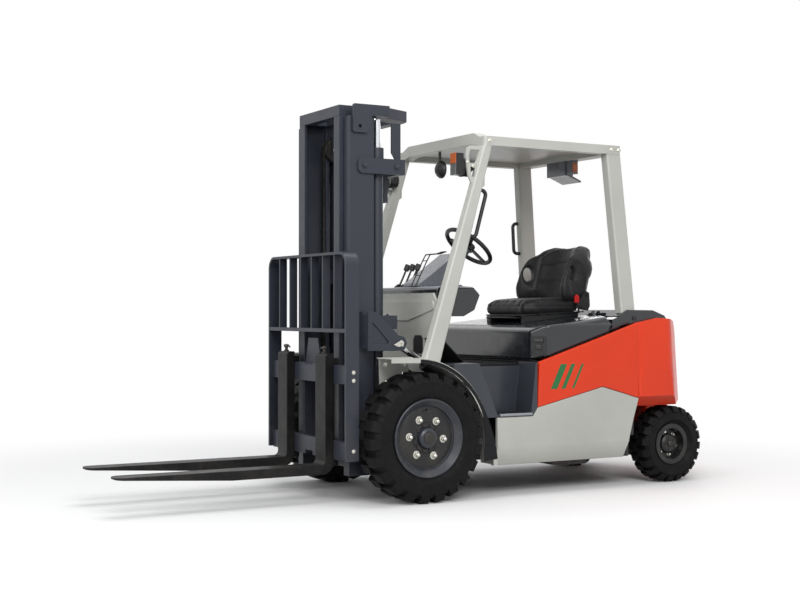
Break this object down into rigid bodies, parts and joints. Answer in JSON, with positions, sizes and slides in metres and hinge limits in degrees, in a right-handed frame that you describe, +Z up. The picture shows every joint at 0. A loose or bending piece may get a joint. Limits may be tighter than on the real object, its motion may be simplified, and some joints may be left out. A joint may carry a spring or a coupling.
{
  "type": "counterbalance forklift truck",
  "caption": "Electric counterbalance forklift truck with a two-stage tilting mast, forks with load backrest, overhead guard, seat on a lifting hood and rear-wheel steering.",
  "frame": {"origin": "on the ground under the middle of the overall length and width, forks as in the picture", "axes": "+X forward along the forks, +Y to the truck's left, +Z up"},
  "size_m": [3.747, 1.25, 2.155],
  "materials": {
    "frame_grey": "satin",
    "frame_dark": "satin",
    "mast_slate": "satin",
    "body_orange": "gloss",
    "cast_orange": "gloss",
    "trim_dark": "gloss",
    "plastic_black": "matte",
    "battery": "matte",
    "axle": "satin",
    "rim": "satin",
    "tyre": "matte",
    "fork": "satin",
    "steel": "brushed",
    "chain": "oiled",
    "roof": "satin",
    "seat": "soft",
    "lamp": "gloss"
  },
  "bodies": {
    "chassis": {"frame": "frame_dark", "side_skirts": "frame_grey", "side_panels": "body_orange", "fenders": "frame_grey", "step_wells": "trim_dark", "front_cowl": "frame_grey", "floor_plate": "plastic_black", "counterweight": "cast_orange", "tow_pin": "steel", "rear_cover": "trim_dark", "battery_pack": "battery", "drive_axle": "axle", "steer_axle": "axle", "guard_posts": "frame_grey", "guard_frame": "frame_grey", "guard_roof": "roof", "grab_handles": "plastic_black", "front_lamps": "lamp", "rear_lamp": "lamp", "mirror": "plastic_black", "dashboard": "trim_dark", "steering_column": "trim_dark", "pedals": "plastic_black", "control_levers": "plastic_black"},
    "steering_wheel": {"steering_wheel": "plastic_black"},
    "hood": {"hood": "trim_dark", "seat_frame": "plastic_black", "seat_cushion": "seat", "seat_back": "seat"},
    "outer_mast": {"outer_rails": "mast_slate", "outer_ties": "mast_slate", "lift_cylinders": "fork", "chains_rear": "chain"},
    "inner_mast": {"inner_rails": "mast_slate", "inner_ties": "mast_slate", "lift_rods": "steel", "chain_sheaves": "axle"},
    "carriage": {"carriage": "mast_slate", "carriage_rollers": "axle", "load_backrest": "mast_slate", "forks": "fork", "chains_front": "chain"},
    "tilt_barrel_left": {"tilt_barrel_left": "fork"},
    "tilt_rod_left": {"tilt_rod_left": "steel"},
    "wheel_front_left": {"tyre_front_left": "tyre", "rim_front_left": "rim"},
    "wheel_rear_left": {"tyre_rear_left": "tyre", "rim_rear_left": "rim"},
    "knuckle_left": {"knuckle_left": "axle"},
    "tilt_barrel_right": {"tilt_barrel_right": "fork"},
    "tilt_rod_right": {"tilt_rod_right": "steel"},
    "wheel_front_right": {"tyre_front_right": "tyre", "rim_front_right": "rim"},
    "wheel_rear_right": {"tyre_rear_right": "tyre", "rim_rear_right": "rim"},
    "knuckle_right": {"knuckle_right": "axle"}
  },
  "joints": [
    {"name": "mast_tilt", "type": "hinge", "parent": "chassis", "child": "outer_mast", "pos_m": [0.2565, 0, 0.35], "axis": [0, -1, 0], "range_deg": [-6, 10]},
    {"name": "mast_lift", "type": "slide", "parent": "outer_mast", "child": "inner_mast", "axis": [0, 0, 1], "range_m": [-0.07, 1.43], "deforming": ["chains_rear"]},
    {"name": "carriage_lift", "type": "slide", "parent": "inner_mast", "child": "carriage", "axis": [0, 0, 1], "range_m": [-0.07, 1.43], "deforming": ["chains_front"]},
    {"name": "hood_open", "type": "hinge", "parent": "chassis", "child": "hood", "pos_m": [-1.0845, 0, 1.01], "axis": [0, -1, 0], "range_deg": [0, 45]},
    {"name": "steering_wheel_turn", "type": "hinge", "parent": "chassis", "child": "steering_wheel", "pos_m": [-0.3835, 0, 1.415], "axis": [-0.6376, 0, 0.7704], "continuous": true},
    {"name": "tilt_swing_left", "type": "hinge", "parent": "chassis", "child": "tilt_barrel_left", "pos_m": [-0.2635, 0.37, 0.48], "axis": [0, -1, 0], "range_deg": [-2.94, 4.9]},
    {"name": "tilt_stroke_left", "type": "slide", "parent": "tilt_barrel_left", "child": "tilt_rod_left", "axis": [0.8419, 0, 0.5396], "range_m": [-0.07047, 0.04228]},
    {"name": "spin_front_left", "type": "hinge", "parent": "chassis", "child": "wheel_front_left", "pos_m": [0.2565, 0.514, 0.35], "axis": [0, 1, 0], "continuous": true},
    {"name": "steer_left", "type": "hinge", "parent": "chassis", "child": "knuckle_left", "pos_m": [-1.4985, 0.335, 0.2285], "axis": [0, 0, 1], "range_deg": [-65, 65]},
    {"name": "spin_rear_left", "type": "hinge", "parent": "knuckle_left", "child": "wheel_rear_left", "pos_m": [-1.4985, 0.47, 0.2285], "axis": [0, 1, 0], "continuous": true},
    {"name": "tilt_swing_right", "type": "hinge", "parent": "chassis", "child": "tilt_barrel_right", "pos_m": [-0.2635, -0.37, 0.48], "axis": [0, -1, 0], "range_deg": [-2.94, 4.9]},
    {"name": "tilt_stroke_right", "type": "slide", "parent": "tilt_barrel_right", "child": "tilt_rod_right", "axis": [0.8419, 0, 0.5396], "range_m": [-0.07047, 0.04228]},
    {"name": "spin_front_right", "type": "hinge", "parent": "chassis", "child": "wheel_front_right", "pos_m": [0.2565, -0.514, 0.35], "axis": [0, 1, 0], "continuous": true},
    {"name": "steer_right", "type": "hinge", "parent": "chassis", "child": "knuckle_right", "pos_m": [-1.4985, -0.335, 0.2285], "axis": [0, 0, 1], "range_deg": [-65, 65]},
    {"name": "spin_rear_right", "type": "hinge", "parent": "knuckle_right", "child": "wheel_rear_right", "pos_m": [-1.4985, -0.47, 0.2285], "axis": [0, 1, 0], "continuous": true}
  ],
  "couplings": [
    {"joint": "carriage_lift", "follows": "mast_lift", "ratio": 1},
    {"joint": "tilt_swing_left", "follows": "mast_tilt", "ratio": 0.46621},
    {"joint": "tilt_stroke_left", "follows": "mast_tilt", "m_per_rad": -0.39587},
    {"joint": "tilt_swing_right", "follows": "mast_tilt", "ratio": 0.46621},
    {"joint": "tilt_stroke_right", "follows": "mast_tilt", "m_per_rad": -0.39587},
    {"joint": "steer_right", "follows": "steer_left", "ratio": 1}
  ]
}
